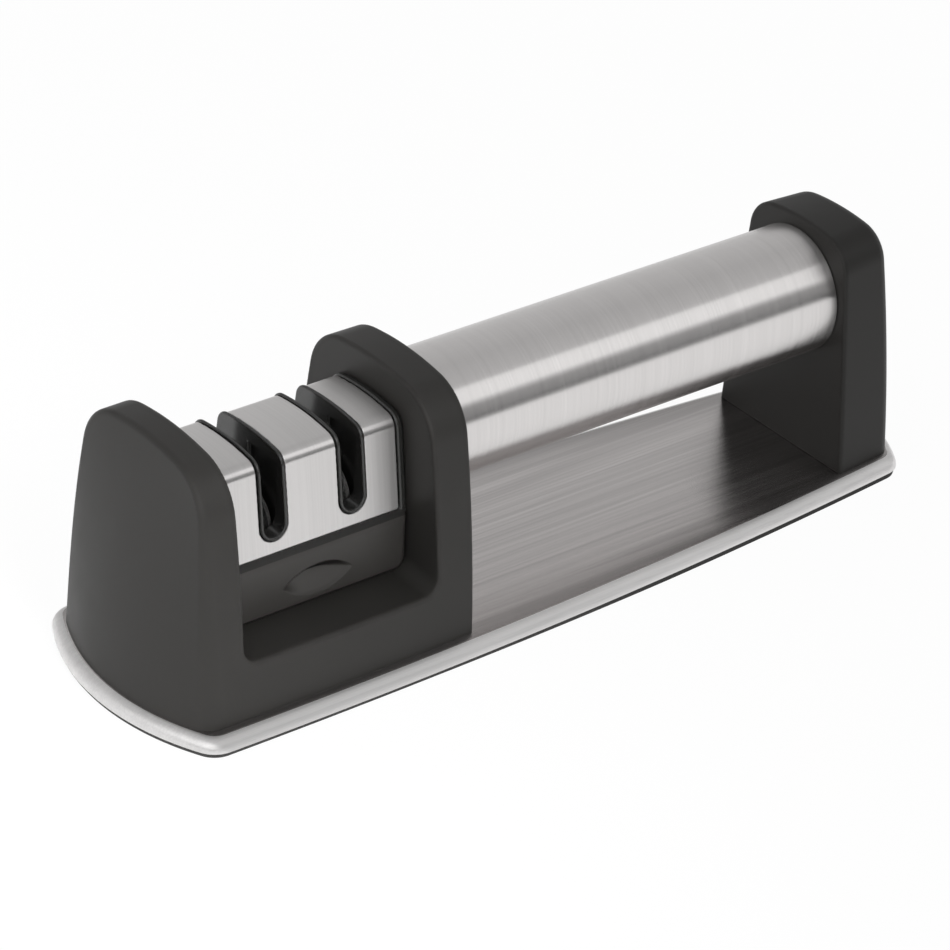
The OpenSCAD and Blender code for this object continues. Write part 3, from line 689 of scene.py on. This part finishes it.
def shaded(mat, share):
    """Paints shade: multiplies a material's colour by a share that varies over the surface."""
    nt = mat.node_tree
    colour = nt.nodes["Principled BSDF"].inputs["Base Color"]
    node = add(nt, "ShaderNodeMix", data_type="RGBA", blend_type="MULTIPLY", Factor=1.0)
    join(nt, colour.links[0].from_socket, node.inputs["A"])
    join(nt, share, node.inputs["B"])
    join(nt, node.outputs["Result"], colour)


def paint_shade_near_rim(mat):
    """Painted shade: darkens the plate's colour a little towards its rolled rim."""
    nt = mat.node_tree
    x, y, _ = split_axes(nt, coordinates(nt, "Object"))
    a, b, c = HALF_WIDTH
    half = calc(nt, "MULTIPLY_ADD", x, calc(nt, "MULTIPLY_ADD", x, c, b), a)
    edge = calc(nt, "SUBTRACT", half, calc(nt, "ABSOLUTE", y))
    shaded(mat, ramp(nt, edge, 0.62, 1.0, 0.002, 0.0095))


def paint_shade_below(mat):
    """Painted shade: darkens the colour of faces that look down, in the thumb recess and along
    the panel's foot.
    """
    nt = mat.node_tree
    normal = add(nt, "ShaderNodeNewGeometry").outputs["Normal"]
    shaded(mat, ramp(nt, split_axes(nt, normal)["Z"], 0.3, 1.0, -0.55, -0.12))


# Steel: grain, tone, roughness, anisotropy and strength of the streaks
plate_steel = brushed("plate_steel", LENGTHWISE, (0.6, 0.575, 0.567), 0.24, 0.9, 0.15)
# Painted shade on the plate, darker towards its rim
paint_shade_near_rim(plate_steel)
# The rim is the plate's steel made rougher; its lighter tone than the plate's is painted light
rim_steel = brushed("rim_steel", LENGTHWISE, (0.76, 0.75, 0.745), 0.4, 0.85, 0.08)
tube_steel = brushed("tube_steel", CROSSWISE, (0.73, 0.71, 0.703), 0.24, 1.0, 0.045)
skin_steel = brushed("skin_steel", CROSSWISE, (0.71, 0.695, 0.688), 0.32, 0.9, 0.05)
# Plastic and rubber: tone, roughness, depth of the texture and shine
charcoal = moulded("charcoal_plastic", (0.0196, 0.0186, 0.0174), 0.45, 0.12, 0.235)
gloss_plastic = moulded("black_plastic", (0.024, 0.0225, 0.021), 0.42, 0.06)
# Painted shade on the cartridge's faces that look down
paint_shade_below(gloss_plastic)
rubber = moulded("mat_rubber", (0.03, 0.029, 0.028), 0.8, 0.3)
nylon = moulded("black_nylon", (0.03, 0.03, 0.03), 0.4, 0.05)
# Glossier copy of the cartridge's plastic for the lips, beads and slots; its darker tone is
# painted shade of the slots
slot_shade_plastic = moulded("polished_black_painted_shade", (0.013, 0.0128, 0.0122), 0.2, 0.02, 0.6)
# Painted shade: a darker copy of the cartridge's plastic for the ledge under the skin's foot
ledge_shade_plastic = moulded("ledge_painted_shade", (0.0125, 0.012, 0.0115), 0.5, 0.08, 0.22)
# Small parts: tone and roughness. Grit: tone and how far its grains differ
zinc = plated("zinc_plate", (0.6, 0.61, 0.62), 0.32)
brass = plated("turned_brass", (0.71, 0.56, 0.3), 0.25)
coarse_grit = grit("coarse_grit", (0.018, 0.0175, 0.017), 0.6)
fine_grit = grit("fine_grit", (0.032, 0.031, 0.03), 0.5)


# ---- Pieces
# Faces of the plate whose normal's Z is less than this are its rolled rim
FLAT = 0.97


def dress(ob, *looks):
    """Gives an object its materials. Its faces take the first of them."""
    ob.data.materials.clear()
    for mat in looks:
        ob.data.materials.append(mat)


def piece(ob, looks, body, node):
    """Dresses a piece, and says what it rides on and the node it stands for."""
    dress(ob, *looks)
    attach(ob, body)
    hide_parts(node)
    return ob


base = piece(crisp(tray(), 40), (plate_steel, rim_steel), "base", "base_plate")
for face in base.data.polygons:
    if face.normal.z < FLAT:
        face.material_index = 1
piece(crisp(foot_mat(), 40), (rubber,), "base", "base_mat")

head = formed("head_shell", housing_field, (HEAD_X0, -HEAD_HALF, FOOT_Z),
              (PART_X1, HEAD_HALF, HEAD_TOP), step=0.55, keep=0.5)
piece(head, (charcoal,), "base", "head_housing")
post = formed("post_shell", post_field, (POST_X0, -POST_HALF, FOOT_Z),
              (POST_X1, POST_HALF, POST_TOP), step=0.55, keep=0.5)
piece(post, (charcoal,), "base", "rear_post")
piece(crisp(grip(), 30), (tube_steel,), "base", "handle_tube")

shell = formed("cartridge_shell", cartridge_field, (CART_X0, -PANEL_HALF, PLUG_Z0),
               (CART_X1, PANEL_HALF, SKIN_TOP + BEAD_UP), step=0.3, keep=0.45)
piece(shell, (gloss_plastic, slot_shade_plastic, ledge_shade_plastic), "cartridge",
      "cartridge_body")
for face in shell.data.polygons:
    at = face.center / MM
    # Faces above the skin's foot take the glossier copy, whose darker tone is painted shade
    if at.z > SKIN_Z + 0.1:
        face.material_index = 1
    # The ledge under the skin's foot takes the darker copy, as painted shade
    elif at.z > PANEL_TOP + 0.1 and abs(at.y) > SKIN_HALF - 1.0:
        face.material_index = 2
skin = formed("cartridge_skin", skin_field, (SKIN_X0, -SKIN_HALF, SKIN_Z),
              (SKIN_X1, SKIN_HALF, SKIN_TOP), step=0.25, keep=0.45)
piece(skin, (skin_steel,), "cartridge", "cartridge_cover")

NODE_LOOKS = (
    (charcoal, ("base_frame", "cartridge_base")),
    (nylon, ("wheel_washers",)),
    (zinc, ("head_screws", "post_screws", "cartridge_screws", "tie_bolt", "tie_washer",
            "wheel_axle")),
    (brass, ("tie_insert",)),
    (coarse_grit, ("coarse_wheel_left", "coarse_wheel_right")),
    (fine_grit, ("fine_wheel_left", "fine_wheel_right")),
)
for look, nodes in NODE_LOOKS:
    for node in nodes:
        dress(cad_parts[node], look)


# ---- Floor, light and camera
# The studio's brightness by angle from straight up, in degrees, in the plane across the object.
# Angles towards the front are positive
STUDIO = ((-180, 0.6), (-119, 0.9), (-95, 0.66), (-51, 0.57), (-11, 0.5), (24, 0.56), (31, 0.62),
          (33, 1.0), (57, 1.0), (62, 0.62), (67, 0.36), (80, 0.3), (84, 0.17), (91, 0.17),
          (93, 0.75), (180, 0.75))

# Place, aim and size of the light panel beside the sharpening end
SIDE_PANEL = ((-0.75, 0.12, 0.16), (-0.1, 0, 0.03), (0.8, 0.6))
FLOOR_R = 3

# Camera fitted to the photograph
LENS, SENSOR, SHIFT = 162.93, 36, (-0.01426, -0.01775)
CAM_AT = Vector((-507.568, -614.593, 503.180)) * MM
CAM_RIGHT = Vector((0.79104742, -0.60981709, 0.04865277))
CAM_UP = Vector((0.28154956, 0.43351915, 0.85603212))
CAM_LOOK = Vector((0.54311492, 0.66346384, -0.51462794))


def blended(nt, share, first, second, into):
    """Mixes two shaders by the second one's share, into an output node."""
    node = add(nt, "ShaderNodeMixShader")
    for slot, value in zip(node.inputs, (share, first.outputs[0], second.outputs[0])):
        join(nt, value, slot)
    join(nt, node.outputs[0], into.inputs["Surface"])


def seen_plainly(nt, path):
    """1 for what the camera sees, directly or through something clear, and otherwise 0."""
    return calc(nt, "MAXIMUM", path.outputs["Is Camera Ray"], path.outputs["Is Transmission Ray"])


def pale_floor():
    """A floor that shows white. Metal mirrors it darker behind the object than in front, as
    painted shade.
    """
    mesh = bpy.data.meshes.new("floor")
    r = FLOOR_R
    mesh.from_pydata([(-r, -r, 0), (r, -r, 0), (r, r, 0), (-r, r, 0)], [], [(0, 1, 2, 3)])
    ob = link("floor", mesh)
    mat, nt, bsdf = material("floor_white")
    bsdf.inputs["Base Color"].default_value = (0.9, 0.9, 0.9, 1)
    bsdf.inputs["Roughness"].default_value = 0.9
    glow = add(nt, "ShaderNodeEmission", Color=WHITE, Strength=1.0)
    path = add(nt, "ShaderNodeLightPath")
    depth = split_axes(nt, coordinates(nt, "Object"))["Y"]
    # Painted shade for metal: the floor's glow in reflections fades from 0.84 in front to 0.5
    # behind the object
    mirrored_shade = calc(nt, "MULTIPLY", path.outputs["Is Glossy Ray"],
                    ramp(nt, depth, 0.84, 0.5, -0.02, 0.06))
    seen = calc(nt, "MULTIPLY", seen_plainly(nt, path), 0.96)
    share = calc(nt, "MAXIMUM", mirrored_shade, seen)
    blended(nt, share, bsdf, glow, nt.nodes["Material Output"])
    mesh.materials.append(mat)
    return ob


def studio():
    """Light from bands that run along the object. The camera sees plain white in its place."""
    world = bpy.data.worlds.new("studio")
    bpy.context.scene.world = world
    world.use_nodes = True
    nt = world.node_tree
    nt.nodes.clear()
    _, y, z = split_axes(nt, coordinates(nt, "Generated"))
    lean = calc(nt, "ARCTAN2", calc(nt, "MULTIPLY", y, -1), z)
    bands = add(nt, "ShaderNodeValToRGB")
    stops = bands.color_ramp.elements
    while len(stops) > 1:
        stops.remove(stops[-1])
    for i, (degrees, level) in enumerate(STUDIO):
        position = (degrees + 180) / 360
        stop = stops.new(position) if i else stops[0]
        stop.position = position
        stop.color = (level, level, level, 1)
    join(nt, ramp(nt, lean, 0, 1, -math.pi, math.pi), bands.inputs["Fac"])
    sky = add(nt, "ShaderNodeBackground", Strength=1.0)
    join(nt, bands.outputs["Color"], sky.inputs["Color"])
    plain = add(nt, "ShaderNodeBackground", Color=WHITE)
    seen = seen_plainly(nt, add(nt, "ShaderNodeLightPath"))
    blended(nt, seen, sky, plain, add(nt, "ShaderNodeOutputWorld"))


def lamp(name, where, aim, size, power, glossy=True, spread=180):
    """A soft rectangular lamp of a size in metres and a power in watts."""
    data = bpy.data.lights.new(name, "AREA")
    data.shape = "RECTANGLE"
    data.size, data.size_y = size
    data.energy = power
    data.spread = math.radians(spread)
    ob = link(name, data)
    ob.location = where
    ob.rotation_mode = "QUATERNION"
    ob.rotation_quaternion = (Vector(aim) - Vector(where)).to_track_quat("-Z", "Y")
    ob.visible_glossy = glossy


def photo_camera():
    """The scene's camera, where the photograph was taken from."""
    data = bpy.data.cameras.new("camera")
    data.sensor_width, data.lens = SENSOR, LENS
    data.shift_x, data.shift_y = SHIFT
    data.clip_start, data.clip_end = 0.05, 20
    ob = link("camera", data)
    pose = Matrix((CAM_RIGHT, CAM_UP, -CAM_LOOK)).transposed().to_4x4()
    pose.translation = CAM_AT
    ob.matrix_world = pose
    bpy.context.scene.camera = ob


floor = pale_floor()
studio()
lamp("key", (-0.46, -0.27, 0.27), (-0.06, 0, 0.03), (0.4, 0.4), 0.53)
lamp("front", (-0.17, -0.42, 0.28), (-0.135, 0, 0.03), (0.2, 0.2), 0.19, glossy=False, spread=30)
lamp("side", *SIDE_PANEL, 0.5)
lamp("side_soft", *SIDE_PANEL, 2.6, glossy=False)
photo_camera()
bpy.context.scene.view_settings.view_transform = "Standard"
